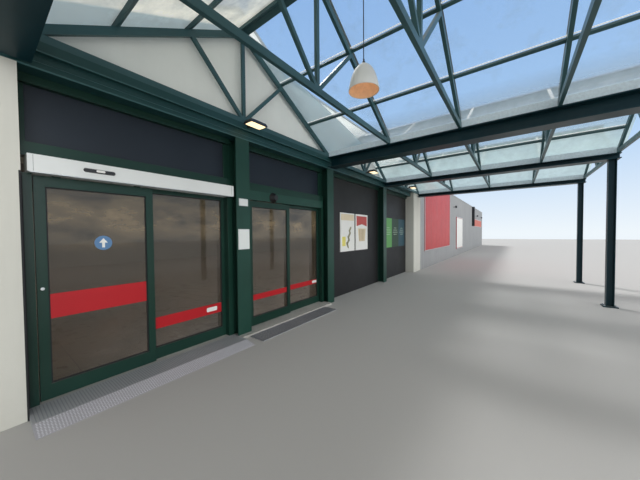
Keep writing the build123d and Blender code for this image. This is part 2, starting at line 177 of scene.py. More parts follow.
def feed(node, values):
    """Links sockets to a node's inputs, or sets the inputs to numbers and colours."""
    for key, value in values.items():
        entry = node.inputs[key]
        if isinstance(value, bpy.types.NodeSocket):
            node.id_data.links.new(value, entry)
        elif isinstance(value, tuple):
            entry.default_value = (*value, 1)
        else:
            entry.default_value = value


def add(tree, kind, values):
    """A new node with its inputs fed."""
    node = tree.nodes.new(kind)
    feed(node, values)
    return node


def place(tree, stretch=(1, 1, 1)):
    """The frame's metres, stretched."""
    coords = tree.nodes.new("ShaderNodeTexCoord")
    mapping = tree.nodes.new("ShaderNodeMapping")
    mapping.inputs["Scale"].default_value = stretch
    tree.links.new(coords.outputs["Object"], mapping.inputs["Vector"])
    return mapping.outputs["Vector"]


def along(tree, axis):
    """The frame's X, Y or Z in metres."""
    return add(tree, "ShaderNodeSeparateXYZ", {"Vector": place(tree)}).outputs[axis]


def noise(tree, scale, detail=6, stretch=(1, 1, 1)):
    values = {"Scale": scale, "Detail": detail, "Roughness": 0.6, "Vector": place(tree, stretch)}
    return add(tree, "ShaderNodeTexNoise", values).outputs["Fac"]


def ramp(tree, value, stops):
    """A colour ramp from (position, colour) stops."""
    made = add(tree, "ShaderNodeValToRGB", {"Fac": value})
    marks = made.color_ramp.elements
    while len(marks) < len(stops):
        marks.new(0.5)
    for mark, (at, colour) in zip(marks, stops):
        mark.position = at
        mark.color = (*colour, 1)
    return made.outputs["Color"]


def grey(*stops):
    """Ramp stops for a single number."""
    return [(at, (value,) * 3) for at, value in stops]


def shade(colour, factor):
    return tuple(min(1.0, c * factor) for c in colour)


def uneven(tree, scale, colour, less, more, marks=(0.3, 0.7), detail=6):
    """A colour that varies with a noise, from its share less to its share more."""
    stops = zip(marks, (shade(colour, less), shade(colour, more)))
    return ramp(tree, noise(tree, scale, detail), list(stops))


def maths(tree, operation, a, b):
    """One arithmetic node of two sockets or numbers."""
    made = add(tree, "ShaderNodeMath", {0: a, 1: b})
    made.operation = operation
    return made.outputs["Value"]


def product(tree, first, *others):
    for other in others:
        first = maths(tree, "MULTIPLY", first, other)
    return first


def rest_of(tree, value):
    """What a share leaves of 1."""
    return maths(tree, "SUBTRACT", 1.0, value)


def held(tree, value):
    """A value kept between 0 and 1."""
    return maths(tree, "MINIMUM", maths(tree, "MAXIMUM", value, 0.0), 1.0)


def blend(tree, factor, first, second):
    """Mixes two colour sockets or colours."""
    made = tree.nodes.new("ShaderNodeMix")
    made.data_type = "RGBA"
    feed(made, {"Factor": factor, 6: first, 7: second})
    return made.outputs[2]


def bump(tree, value, strength, distance):
    values = {"Strength": strength, "Distance": distance, "Height": value}
    return add(tree, "ShaderNodeBump", values).outputs["Normal"]


def facing_up(tree):
    """How far the surface faces the sky, 0 to 1."""
    geometry = tree.nodes.new("ShaderNodeNewGeometry")
    parts = add(tree, "ShaderNodeSeparateXYZ", {"Vector": geometry.outputs["Normal"]})
    return maths(tree, "MAXIMUM", parts.outputs["Z"], 0.0)


def height(tree, low, high):
    """0 at one level above the ground and 1 at the other."""
    return held(tree, product(tree, maths(tree, "SUBTRACT", along(tree, "Z"), low), 1 / (high - low)))


def painted(name, colour, roughness=0.38, spread=0.12, dusty=0.5, shine=0.3):
    """Gloss paint: soft variation in tone and gloss, orange peel, and dust where it faces up."""
    mat, tree, shader = material(name)
    tone = uneven(tree, 1.7, colour, 1 - spread, 1 + spread)
    lying = ramp(tree, noise(tree, 14, 8), grey((0.35, 0.25), (0.7, 1.0)))
    dirt = product(tree, facing_up(tree), lying, dusty)
    gloss = ramp(tree, noise(tree, 3, 3), grey((0.3, roughness - 0.02), (0.75, roughness + 0.05)))
    feed(shader, {"Base Color": blend(tree, dirt, tone, dust),
                  "Roughness": maths(tree, "ADD", gloss, dirt),
                  "Specular IOR Level": shine,
                  "Normal": bump(tree, noise(tree, 220, 2), 0.08, 0.001)})
    return mat


def rendered_wall(name, colour, grain=90.0, streaks=0.10, splash=0.16):
    """Painted render: a fine grain, broad stains, rain marks and splashes near the ground."""
    mat, tree, shader = material(name)
    broad = uneven(tree, 0.7, colour, 0.93, 1.05, (0.25, 0.75), 8)
    rain = ramp(tree, noise(tree, 3.0, 6, (2.2, 2.2, 0.14)), grey((0.42, 0.0), (0.72, streaks)))
    streaked = blend(tree, rain, broad, shade(colour, 0.45))
    wet = rest_of(tree, height(tree, 0.0, 0.45))
    spots = ramp(tree, noise(tree, 6.0, 8), grey((0.3, 0.35), (0.7, 1.0)))
    soiled = product(tree, wet, spots, splash)
    relief = maths(tree, "ADD", noise(tree, grain, 4), noise(tree, grain / 6, 3))
    feed(shader, {"Base Color": blend(tree, soiled, streaked, splashed), "Roughness": 0.85,
                  "Normal": bump(tree, relief, 0.35, 0.002)})
    return mat


def wall_shadow_mask(tree, lean):
    """1 in the wall's painted shadow, a strip of roof beside the wall which widens away from the first
    ridge, and 0 beyond it.
    """
    away = maths(tree, "ABSOLUTE", maths(tree, "SUBTRACT", along(tree, "X"), first_ridge), 0.0)
    edge = maths(tree, "ADD", along(tree, "Y"), product(tree, away, lean))
    sharpness = 25.0
    return held(tree, product(tree, maths(tree, "ADD", edge, wall_shadow_reach), sharpness))


def pane(name, tint, film_colour, clear, filmed, marks, roughness, most, glow, settled, lean=None):
    """A pane that lets light straight through, under a film of dust and runs.

    Its opacity goes from clear to filmed as the film thickens. The film starts and ends at the noise's
    marks and reaches most; dust settled towards the eave, between two levels and up to a share, closes
    the pane up. The film glows as a painted sunlight from above, except in a bluish painted shadow of
    the wall beside it, which a pane with a lean has."""
    mat, tree, shader = material(name)
    dust_low, dust_high, share = settled
    runs = ramp(tree, noise(tree, 2.2, 5, (1.0, 1.0, 1.8)), grey((marks[0], 0.0), (marks[1], most)))
    eave = rest_of(tree, height(tree, dust_low, dust_high))
    lying = ramp(tree, noise(tree, 5.0, 4), grey((0.3, share * 0.8), (0.7, share)))
    film_and_shadow = maths(tree, "MAXIMUM", runs, product(tree, eave, lying))
    skin = blend(tree, film_and_shadow, tint, film_colour)
    lit = film_and_shadow
    if lean is not None:
        # painted shadow: the wall's shadow on the glass, bluish, more opaque and glowing less
        strip = wall_shadow_mask(tree, lean)
        film_and_shadow = maths(tree, "MAXIMUM", film_and_shadow, product(tree, strip, 0.72))
        skin = blend(tree, strip, skin, wall_shadow_blue)
        lit = product(tree, film_and_shadow, rest_of(tree, product(tree, strip, 0.62)))
    feed(shader, {"Base Color": skin,
                  "Alpha": maths(tree, "ADD", clear, product(tree, film_and_shadow, filmed - clear)),
                  "Roughness": maths(tree, "ADD", roughness, product(tree, film_and_shadow, 0.4)),
                  "Emission Color": film_colour,
                  "Emission Strength": product(tree, lit, glow)})
    return mat


def door_glass(name):
    """Warm tinted safety glass whose colour carries painted reflections: bands by height, brown towards the
    floor, dark at waist height and paler above the eye, in patches over the dark tint.
    """
    mat, tree, shader = material(name)
    tint = ramp(tree, height(tree, 0.15, 2.15), glass_reflection_bands)
    patches = ramp(tree, noise(tree, 1.6, 5, (1.0, 1.0, 2.2)), grey((0.35, 0.0), (0.65, 1.0)))
    wiped = ramp(tree, noise(tree, 2.5, 5, (0.6, 0.6, 2.5)), grey((0.4, 0.02), (0.75, 0.10)))
    seen = ramp(tree, height(tree, 0.2, 1.7), grey((0.0, 0.34), (0.5, 0.62), (1.0, 0.76)))
    feed(shader, {"Base Color": blend(tree, patches, glass_dark, tint), "Roughness": wiped,
                  "Alpha": seen, "Coat Weight": 0.6})
    return mat


def plain(name, colour, roughness=0.6, metallic=0.0, spread=0.07, grain=60.0, relief=0.1):
    """A moulded or cast surface with a slight unevenness in tone and relief."""
    mat, tree, shader = material(name)
    feed(shader, {"Base Color": uneven(tree, 4.0, colour, 1 - spread, 1 + spread),
                  "Roughness": roughness, "Metallic": metallic,
                  "Normal": bump(tree, noise(tree, grain, 3), relief, 0.001)})
    return mat


def rolled_plate(name, shaded_tone, lit_tone, end):
    """Rolled plate, lighter in patches on the ramp's slope and darker behind its fold and past its end, a
    painted light and shade.
    """
    mat, tree, shader = material(name)
    before = maths(tree, "LESS_THAN", along(tree, "Y"), ramp_fold)
    within = maths(tree, "LESS_THAN", along(tree, "X"), end)
    patches = ramp(tree, noise(tree, 3.0, 6), grey((0.35, 0.70), (0.65, 1.0)))
    bright = product(tree, before, within, patches)
    feed(shader, {"Base Color": blend(tree, bright, shaded_tone, lit_tone), "Roughness": 0.55,
                  "Metallic": 0.25, "Normal": bump(tree, noise(tree, 60.0, 3), 0.1, 0.001)})
    return mat


def glowing(name, colour, strength):
    """A lit surface whose tone varies a little."""
    mat, tree, shader = material(name)
    tone = uneven(tree, 30.0, colour, 0.85, 1.0, detail=2)
    feed(shader, {"Base Color": tone, "Emission Color": tone, "Emission Strength": strength,
                  "Roughness": 0.3})
    return mat


def tiled(name, colour, joint, size, mortar):
    """Square tiles with joints, each a little different."""
    mat, tree, shader = material(name)
    values = {"Scale": 1.0, "Brick Width": size, "Row Height": size, "Mortar Size": mortar,
              "Color1": shade(colour, 0.94), "Color2": shade(colour, 1.06), "Mortar": joint,
              "Vector": place(tree)}
    tiles = add(tree, "ShaderNodeTexBrick", values)
    tiles.offset = 0.0
    gloss = ramp(tree, noise(tree, 5.0), grey((0.3, 0.22), (0.7, 0.4)))
    feed(shader, {"Base Color": tiles.outputs["Color"], "Roughness": gloss})
    return mat


steel_paint = painted("steel_paint", steel_green)
# painted light: trusses and purlins in a lighter copy of the steel paint
truss_lit_paint = painted("truss_lit_paint", truss_lit_green)
# painted light and shade: the head in a toned copy of the steel paint
header_light_shade_paint = painted("header_light_shade_paint", header_light_shade_green, 0.40, 0.10, 0.3)
edge_highlight_paint = painted("edge_highlight_paint", edge_highlight_green, 0.35)
# painted light: columns and the second housing in a lighter copy of the door paint
column_lit_paint = painted("column_lit_paint", column_lit_green, 0.34)
door_paint = painted("door_paint", door_green, 0.3)
fascia_paint = painted("fascia_paint", anthracite, 0.42, 0.08, 0.3)
panel_paint = painted("panel_paint", panel_grey, 0.5, 0.08, 0.3)
cover_paint = painted("cover_paint", cover_white, 0.35, 0.03, 0.25)
red_paint = painted("red_paint", wing_red, 0.45, 0.06, 0.2)
banner_paint = painted("banner_paint", banner_red, 0.45, 0.06, 0.2)
red_sticker = painted("red_sticker", red_film, 0.35, 0.04, 0.0)
white_render = rendered_wall("white_render", plaster_white)
wing_shaded_render = rendered_wall("wing_shaded_render", wing_shaded_white, 90.0, 0.14, 0.22)
gable_lit_board = rendered_wall("gable_lit_board", gable_lit_white, 30.0, 0.05, 0.0)
# painted light: each pane's film glows as sunlight through it; the clear and dusty panes carry the wall's
# painted shadow
clear_pane = pane("clear_pane", (0.62, 0.78, 0.90), (0.76, 0.84, 0.90), clear=0.05, filmed=0.78,
                  marks=(0.5, 0.9), roughness=0.04, most=0.26, glow=0.18,
                  settled=(3.36, 3.60, 0.72), lean=0.38)
green_pane = pane("green_pane", (0.62, 0.78, 0.80), (0.72, 0.86, 0.88), clear=0.12, filmed=0.84,
                  marks=(0.45, 0.85), roughness=0.05, most=0.24, glow=0.40,
                  settled=(3.46, 3.72, 0.74))
dusty_pane = pane("dusty_pane", (0.70, 0.76, 0.76), (0.90, 0.89, 0.82), clear=0.40, filmed=0.88,
                  marks=(0.20, 0.66), roughness=0.2, most=1.0, glow=0.44,
                  settled=(3.38, 3.80, 1.0), lean=0.16)
door_pane = door_glass("door_pane")
hall_tiles = tiled("hall_tiles", (0.50, 0.43, 0.34), (0.28, 0.25, 0.21), 0.6, 0.004)
concrete = plain("concrete", (0.42, 0.41, 0.38), 0.9, 0.0, 0.12, 45.0, 0.4)
roofing = plain("roofing", (0.17, 0.17, 0.18), 0.9, 0.0, 0.15, 30.0, 0.4)
capping = plain("capping", (0.50, 0.51, 0.51), 0.4, 0.6, 0.06)
aluminium = plain("aluminium", (0.62, 0.63, 0.63), 0.35, 0.9)
# painted light and shade: the ramp plate lighter on its slope than on its flat
tread_metal = rolled_plate("tread_metal", (0.43, 0.44, 0.45), (0.47, 0.46, 0.49), 1.060)
worn_metal = plain("worn_metal", (0.82, 0.82, 0.86), 0.45, 0.1)
# painted shade: dark ribs that darken the ramp's flat
rib_shade_metal = plain("rib_shade_metal", (0.30, 0.32, 0.33), 0.5, 0.25)
dark_metal = plain("dark_metal", (0.17, 0.17, 0.18), 0.5, 0.4, 0.15)
black_plastic = plain("black_plastic", (0.012, 0.012, 0.013), 0.35)
rubber = plain("rubber", (0.010, 0.010, 0.010), 0.7)
shadow_grey = plain("shadow_grey", (0.16, 0.17, 0.17), 0.6)
lamp_grey = plain("lamp_grey", (0.76, 0.78, 0.77), 0.62, 0.0, 0.06)
paper = plain("paper", (0.80, 0.80, 0.77), 0.45, 0.0, 0.03)
blue_sign = plain("blue_sign", (0.085, 0.20, 0.38), 0.35, 0.0, 0.03)
# painted highlight: the tape glows for the purlins' sunlit edges
lit_tape = glowing("lit_tape", (0.92, 0.93, 0.90), 0.45)
# painted light: these caps glow as sunlight through them
lit_cap = glowing("lit_cap", (0.90, 0.88, 0.78), 0.55)
# painted light: the eave strips glow pale blue
eave_glow = glowing("eave_glow", (0.56, 0.66, 0.71), 0.20)
# painted light: the copper lining glows a little, though only the bulb is a lamp
copper = glowing("copper", (0.88, 0.56, 0.33), 0.16)
warm_lens = glowing("warm_lens", (1.0, 0.78, 0.48), 1.6)
bulb_glass = glowing("bulb_glass", (1.0, 0.86, 0.66), 0.6)
ink_colours = {
    "beige": (0.72, 0.62, 0.44), "yellow": (0.74, 0.66, 0.16), "red": (0.50, 0.07, 0.06),
    "olive": (0.30, 0.28, 0.17), "straw": (0.48, 0.38, 0.24), "leaf": (0.10, 0.34, 0.08),
    "forest": (0.008, 0.040, 0.014), "slate": (0.014, 0.062, 0.085), "pale": (0.42, 0.52, 0.40),
}
inks = {tone: plain(tone + "_print", colour, 0.5) for tone, colour in ink_colours.items()}

finishes = {
    "plaster": white_render, "concrete": concrete, "roofing": roofing, "capping": capping,
    "steel": steel_paint, "door_paint": door_paint, "glazing": door_pane, "fascia": fascia_paint,
    "panel": panel_paint, "white_cover": cover_paint, "black": black_plastic, "tread": tread_metal,
    "poster": paper, "plate": cover_paint, "shade": lamp_grey, "red": red_paint,
}
own_finishes = {
    "gable_wall": gable_lit_board, "floor": hall_tiles, "header": header_light_shade_paint, "header_trims": door_paint,
    "facade_columns": column_lit_paint, "operator_2": column_lit_paint, "wing_wall": wing_shaded_render,
    "purlins": truss_lit_paint,
}
own_finishes.update({name: truss_lit_paint for name in nodes if name.startswith("truss_")})
edge_widths = {
    0.001: ("plates", "gutters"),
    0.0015: ("ramps",),
    0.002: ("posters", "floodlights"),
    0.003: ("street_posts", "truss_left_braces", "truss_right_braces", "purlins", "door_frames",
            "door_1_leaf", "door_2_leaf", "fascia_panels", "bay_panels", "wing_lamps"),
    0.004: ("beams", "truss_chords", "truss_left_rafters", "truss_right_rafters", "truss_king_posts",
            "facade_columns", "header_trims", "wing_panels", "parapet_coping", "gable_coping", "thresholds"),
    0.005: ("operator_2",),
    0.006: ("header",),
    0.008: ("operator_1",),
    0.010: ("plaster_piers",),
}
soft_edges = {name: width for width, names in edge_widths.items() for name in names}


# Mesh helpers

four_corners = ((-1, -1), (-1, 1), (1, -1), (1, 1))


def slab(bm, x0, x1, y0, y1, z0, z1, frame_of=None):
    """A box between two values on each axis, in the frame or in a local one."""
    corners = [Vector((x, y, z)) for z in (z0, z1) for y in (y0, y1) for x in (x0, x1)]
    if frame_of is not None:
        corners = [frame_of @ corner for corner in corners]
    verts = [bm.verts.new(corner) for corner in corners]
    for loop in ((0, 2, 3, 1), (4, 5, 7, 6), (0, 1, 5, 4), (2, 6, 7, 3), (1, 3, 7, 5), (0, 4, 6, 2)):
        bm.faces.new([verts[k] for k in loop])


def prism(bm, points, y0, y1):
    """A prism of an XZ outline between two Y values."""
    front = [bm.verts.new((x, y0, z)) for x, z in points]
    back = [bm.verts.new((x, y1, z)) for x, z in points]
    close_prism(bm, front, back)


def flat_prism(bm, points, z0, z1):
    """A prism of an XY outline between two Z values."""
    low = [bm.verts.new((x, y, z0)) for x, y in points]
    high = [bm.verts.new((x, y, z1)) for x, y in points]
    close_prism(bm, low, high)


def close_prism(bm, first, last):
    """Faces over two loops of vertices and between them."""
    bm.faces.new(first)
    bm.faces.new(last[::-1])
    for k in range(len(first)):
        m = (k + 1) % len(first)
        bm.faces.new((first[m], first[k], last[k], last[m]))


def ring(bm, x0, x1, z0, z1, width, y0, y1):
    """A mitred frame inside an XZ rectangle."""
    loops = []
    for inset in (0, width):
        for y in (y0, y1):
            corners = ((x0 + inset, z0 + inset), (x1 - inset, z0 + inset),
                       (x1 - inset, z1 - inset), (x0 + inset, z1 - inset))
            loops.append([bm.verts.new((x, y, z)) for x, z in corners])
    outer_front, outer_back, inner_front, inner_back = loops
    for k in range(4):
        m = (k + 1) % 4
        bm.faces.new((outer_front[k], outer_front[m], inner_front[m], inner_front[k]))
        bm.faces.new((outer_back[m], outer_back[k], inner_back[k], inner_back[m]))
        bm.faces.new((outer_front[m], outer_front[k], outer_back[k], outer_back[m]))
        bm.faces.new((inner_front[k], inner_front[m], inner_back[m], inner_back[k]))


def round_points(x0, x1, z0, z1, radius):
    """The outline of a rectangle with round corners."""
    steps = 5
    points = []
    for cx, cz, start in ((x1 - radius, z0 + radius, -90), (x1 - radius, z1 - radius, 0),
                          (x0 + radius, z1 - radius, 90), (x0 + radius, z0 + radius, 180)):
        for k in range(steps + 1):
            angle = math.radians(start + 90 * k / steps)
            points.append((cx + radius * math.cos(angle), cz + radius * math.sin(angle)))
    return points


def oval(x, z, long, wide, turn=0.0, count=24):
    """An ellipse in the XZ plane, turned about its centre."""
    c, s = math.cos(turn), math.sin(turn)
    points = []
    for k in range(count):
        u, v = long * math.cos(math.tau * k / count), wide * math.sin(math.tau * k / count)
        points.append((x + u * c - v * s, z + u * s + v * c))
    return points


def flared(x0, x1, z0, z1, out):
    """A field that is wider at its top by the same on both sides."""
    return [(x0, z0), (x1, z0), (x1 + out, z1), (x0 - out, z1)]


def rod(bm, centre, axis, radius, length, count=12):
    """A round or many-sided rod about an axis."""
    turn = Vector((0, 0, 1)).rotation_difference(Vector(axis)).to_matrix().to_4x4()
    bmesh.ops.create_cone(bm, cap_ends=True, segments=count, radius1=radius, radius2=radius,
                          depth=length, matrix=Matrix.Translation(centre) @ turn)


def lathe(bm, x, y, profile, count):
    """Turns (radius, z) points about a plumb axis; the last point joins the first."""
    turns = [math.tau * k / count for k in range(count)]
    rows = [[bm.verts.new((x + r * math.cos(a), y + r * math.sin(a), z)) for a in turns] for r, z in profile]
    for a, b in zip(rows, rows[1:] + rows[:1]):
        for k in range(count):
            m = (k + 1) % count
            bm.faces.new((a[k], a[m], b[m], b[k]))


def piece(name, bm, finish, body="building", edge=0.0, smooth=False, stands_for=()):
    """Makes a piece of the scene from a mesh and lets it ride on a body."""
    bmesh.ops.recalc_face_normals(bm, faces=bm.faces)
    mesh = bpy.data.meshes.new(name)
    bm.to_mesh(mesh)
    bm.free()
    for polygon in mesh.polygons:
        polygon.use_smooth = smooth
    obj = bpy.data.objects.new(name, mesh)
    scene.collection.objects.link(obj)
    mesh.materials.append(finish)
    if edge:
        soften(obj, edge)
    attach(obj, body)
    if stands_for:
        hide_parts(*stands_for)


def soften(obj, width):
    """Small round edges that catch the light."""
    bevel = obj.modifiers.new("soft_edges", "BEVEL")
    bevel.width = width
    bevel.segments = 2
    bevel.limit_method = "ANGLE"
    bevel.angle_limit = math.radians(35)


def corners_of(node):
    low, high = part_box(node)
    return Vector(low), Vector(high)


def dress_nodes():
    """Gives every CAD node its finish and its soft edges."""
    slots = {part["node"]: part["material_slot"] for part in frame["record"]["subparts"]}
    for name, node in nodes.items():
        node.data.materials.clear()
        node.data.materials.append(own_finishes.get(name, finishes[slots[name]]))
        if name in soft_edges:
            soften(node, soft_edges[name])


dress_nodes()


# Glass roofs

slopes = ((-1, "left"), (1, "right"))
slope_panes = ((dusty_pane, clear_pane), (green_pane, green_pane), (green_pane, green_pane))


def is_hung(i):
    """Whether a bay hangs on the side of the higher beam to its left."""
    return beam_tops[i] > beam_tops[i + 1]


def bay(i):
    """Ridge, half width, slope and the rafters' underside at the ridge."""
    left = beam_lines[i] + beam_half - (0 if is_hung(i) else bearing)
    right = beam_lines[i + 1] - beam_half + bearing
    half = (right - left) / 2
    slope = math.atan2(bay_rises[i], half)
    return (left + right) / 2, half, slope, beam_tops[i + 1] + bay_rises[i]


def slope_frame(i, side):
    """A local frame under the glass of a slope: x runs down from the ridge and z square to the glass."""
    middle, _, slope, crown = bay(i)
    down = Vector((side * math.cos(slope), 0, -math.sin(slope)))
    up = Vector((side * math.sin(slope), 0, math.cos(slope)))
    turn = Matrix((down, up.cross(down), up)).transposed().to_4x4()
    return Matrix.Translation((middle, 0, crown + (chord_s + purlin_s) / math.cos(slope))) @ turn


def glass_run(i):
    """The glass's length down a slope, from the ridge."""
    _, half, slope, _ = bay(i)
    return (half + glass_edge) / math.cos(slope)


def roof_sheets(i):
    """The glass of a bay, in sheets with an open joint between them."""
    open_joint = 0.003
    edges = (roof_back, *sheet_joints, roof_front)
    for (side, word), finish in zip(slopes, slope_panes[i]):
        local = slope_frame(i, side)
        bm = bmesh.new()
        for y1, y0 in zip(edges, edges[1:]):
            near, far = sorted((side * (y0 + open_joint), side * (y1 - open_joint)))
            slab(bm, ridge_gap, glass_run(i), near, far, 0.0, glass_t, local)
        name = "glass_bay_%d_%s" % (i + 1, word)
        piece(name, bm, finish, edge=fine_edge, stands_for=("roof_glass",))


def joint_caps(i):
    """Cap strips over the sheets' joints; those on the lower bays' left slopes glow with painted sunlight.
    """
    from_ridge, from_eave, half_w, cap_t = 0.10, 0.02, 0.024, 0.004
    for side, word in slopes:
        local = slope_frame(i, side)
        bm = bmesh.new()
        for y in sheet_joints:
            slab(bm, from_ridge, glass_run(i) - from_eave, side * y - half_w, side * y + half_w,
                 glass_t, glass_t + cap_t, local)
        finish = lit_cap if i > 0 and side < 0 else aluminium
        piece("joint_caps_%d_%s" % (i + 1, word), bm, finish, edge=fine_edge)


def glazing_tape(i):
    """Pale tape under the glass on both sides of each purlin, wider on the upper side; its glow is a painted
    highlight of the purlins' sunlit edges.
    """
    strips = ((-0.033, -0.020), (0.020, 0.026))
    tape_t, front_gap = 0.005, 0.07
    _, half, slope, _ = bay(i)
    bm = bmesh.new()
    for side, _ in slopes:
        local = slope_frame(i, side)
        near, far = sorted((side * (roof_front + front_gap), side * roof_back))
        for share in purlin_lines:
            x = half * share / math.cos(slope)
            for start, end in strips:
                slab(bm, x + start, x + end, near, far, -tape_t, 0.0, local)
    piece("glazing_tape_%d" % (i + 1), bm, lit_tape)


def eave_closers(i):
    """Strips that close the gap between the beams' tops and the glass and glow as painted light; a hung bay
    has one, at its right.
    """
    clearance, closer_t, front_gap, under_glass = 0.0005, 0.004, 0.060, 0.003
    middle, half, slope, crown = bay(i)
    top = crown - half * math.tan(slope) + (chord_s + purlin_s) / math.cos(slope) - under_glass
    bm = bmesh.new()
    for side in ((1,) if is_hung(i) else (-1, 1)):
        near, far = sorted(middle + side * (half + clearance + depth) for depth in (0.0, closer_t))
        slab(bm, near, far, roof_front + front_gap, closer_backs[i] - 0.001, beam_tops[i + 1], top)
    piece("eave_closers_%d" % (i + 1), bm, eave_glow)


for index in range(len(bay_rises)):
    roof_sheets(index)
    joint_caps(index)
    glazing_tape(index)
    eave_closers(index)


# Front

def header_lips():
    """The rounded edges of the head's two steps, which stand out as pale lines in a lighter green, a painted
    highlight.
    """
    low, high = corners_of("header")
    head_step, lip_t = 0.040, 0.005
    upper, lower = low.y, low.y + head_step
    lips = ((upper, beam_tops[2], 0.011), (lower, low.z, 0.014), (lower, low.z + 0.060, 0.005))
    bm = bmesh.new()
    for front, z, tall in lips:
        slab(bm, low.x, high.x, front - lip_t, front, z, z + tall)
    piece("header_lips", bm, edge_highlight_paint, edge=0.002)


def fascia_frames():
    """Upright strips between the fascia panels and the columns, and a bead along their foot."""
    low, high = corners_of("fascia_panels")
    left_w, right_w, strip_t = 0.050, 0.085, 0.014
    bead_t, bead_tall = 0.010, 0.022
    bm = bmesh.new()
    for start in (doorway_left, doorway_left + door_pitch):
        end = start + doorway_w
        slab(bm, start, start + left_w, low.y - strip_t, low.y, low.z, high.z)
        slab(bm, end - right_w, end, low.y - strip_t, low.y, low.z, high.z)
        slab(bm, start + left_w, end - right_w, low.y - bead_t, low.y, low.z, low.z + bead_tall)
    piece("fascia_frames", bm, door_paint, edge=0.002)


header_lips()
fascia_frames()


# Doors

def gasket(bm, x0, x1, low, high):
    """A rubber frame on a pane, proud of it on both sides."""
    ring(bm, x0, x1, low.z, high.z, gasket_w, low.y - gasket_out, high.y + gasket_out)


def door_gaskets():
    for number in (1, 2):
        body = "door_%d" % number
        low, high = corners_of(body + "_leaf_glass")
        bm = bmesh.new()
        gasket(bm, low.x, high.x, low, high)
        piece(body + "_gasket", bm, rubber, body, edge=fine_edge)
    low, high = corners_of("side_glass")
    bm = bmesh.new()
    for shift in (0.0, door_pitch):
        gasket(bm, screen_pane[0] + shift, screen_pane[1] + shift, low, high)
    piece("screen_gaskets", bm, rubber, edge=fine_edge)


def film_bands():
    """Red safety films on the panes, with a bare white label at the end of each screen's."""
    leaf, _ = corners_of("door_1_leaf_glass")
    screen, _ = corners_of("side_glass")
    screen_pane_w = screen_pane[1] - screen_pane[0]
    rows = (("door_1_band", "door_1", leaf, 0.0, leaf_pane_w, 0.790, 1.020),
            ("screen_1_band", "building", screen, 0.0, screen_pane_w, 0.405, 0.545),
            ("door_2_band", "door_2", leaf, door_pitch, leaf_pane_w, 0.460, 0.555),
            ("screen_2_band", "building", screen, door_pitch, screen_pane_w, 0.460, 0.555))
    for name, body, corner, shift, width, foot, top in rows:
        x = corner.x + shift
        bm = bmesh.new()
        slab(bm, x + gasket_w, x + width - gasket_w, corner.y - film, corner.y, foot, top)
        piece(name, bm, red_sticker, body)
    label_w, radius = 0.16, 0.012
    labels = bmesh.new()
    for x, foot, top in ((screen.x + 0.70, 0.445, 0.505), (screen.x + door_pitch + 0.78, 0.482, 0.534)):
        prism(labels, round_points(x, x + label_w, foot, top, radius), screen.y - 2 * film, screen.y - film)
    piece("band_labels", labels, paper)


def way_in_sign():
    """A round blue sign with a white arrow, stuck on the first leaf's glass."""
    low, _ = corners_of("door_1_leaf_glass")
    x, z, radius = -0.478, 1.483, 0.074
    shaft, head, foot, neck, tip = 0.012, 0.036, z - 0.048, z + 0.002, z + 0.050
    disc = bmesh.new()
    prism(disc, oval(x, z, radius, radius, count=48), low.y - film, low.y)
    piece("way_in_disc", disc, blue_sign, "door_1")
    arrow = bmesh.new()
    prism(arrow, [(x - shaft, foot), (x + shaft, foot), (x + shaft, neck), (x + head, neck), (x, tip),
                  (x - head, neck), (x - shaft, neck)], low.y - 2 * film, low.y - film)
    piece("way_in_arrow", arrow, paper, "door_1")


def leaf_lock():
    """A round lock with its rose and key slot on the first leaf's stile."""
    low, _ = corners_of("door_1_leaf")
    x, z = -0.930, 1.078
    rose_r, rose_t = 0.014, 0.004
    barrel_r, barrel_t = 0.009, 0.010
    slot_half_w, slot_half_h = 0.001, 0.006
    bm = bmesh.new()
    rod(bm, (x, low.y - rose_t / 2, z), (0, 1, 0), rose_r, rose_t, 32)
    rod(bm, (x, low.y - barrel_t / 2, z), (0, 1, 0), barrel_r, barrel_t, 24)
    slab(bm, x - slot_half_w, x + slot_half_w, low.y - barrel_t - 0.0005, low.y - barrel_t + 0.001,
         z - slot_half_h, z + slot_half_h)
    piece("leaf_lock", bm, aluminium, "door_1", edge=fine_edge)


def operator_trim():
    """End caps' joints, the lower lip and the sensor lens of the first housing."""
    low, high = corners_of("operator_1")
    cap_w, half_w, margin = 0.035, 0.0012, 0.006
    joints = bmesh.new()
    for x in (low.x + cap_w, high.x - cap_w):
        slab(joints, x - half_w, x + half_w, low.y - 0.0006, low.y + 0.004, low.z + margin, high.z - margin)
    piece("cover_joints", joints, shadow_grey)
    lip_in, lip_front, lip_back = 0.012, low.y + 0.004, low.y + 0.024
    lip = bmesh.new()
    slab(lip, low.x + lip_in, high.x - lip_in, lip_front, lip_back, low.z - 0.006, low.z + 0.001)
    piece("cover_lip", lip, aluminium, edge=fine_edge)
    # painted highlight: the lens is a white spot for the glint on it
    lens_field, lens_radius = (-0.558, -0.488, 2.179, 2.201), 0.0105
    lens = bmesh.new()
    prism(lens, round_points(*lens_field, lens_radius), low.y - 0.0225, low.y - 0.019)
    piece("sensor_lens", lens, paper, edge=fine_edge)


def pier_seal():
    """The dark joint between the left pier and the first door frame."""
    low, _ = corners_of("door_frames")
    pier_front, top = -0.080, 2.105
    face_w, face_t, joint_w = 0.018, 0.006, 0.012
    bm = bmesh.new()
    slab(bm, low.x, low.x + face_w, low.y - face_t, low.y, low.z, top)
    slab(bm, low.x - joint_w, low.x, pier_front - 0.001, low.y - face_t, 0.0, top)
    piece("pier_seal", bm, rubber)


door_gaskets()
film_bands()
way_in_sign()
leaf_lock()
operator_trim()
pier_seal()


# Ground plates

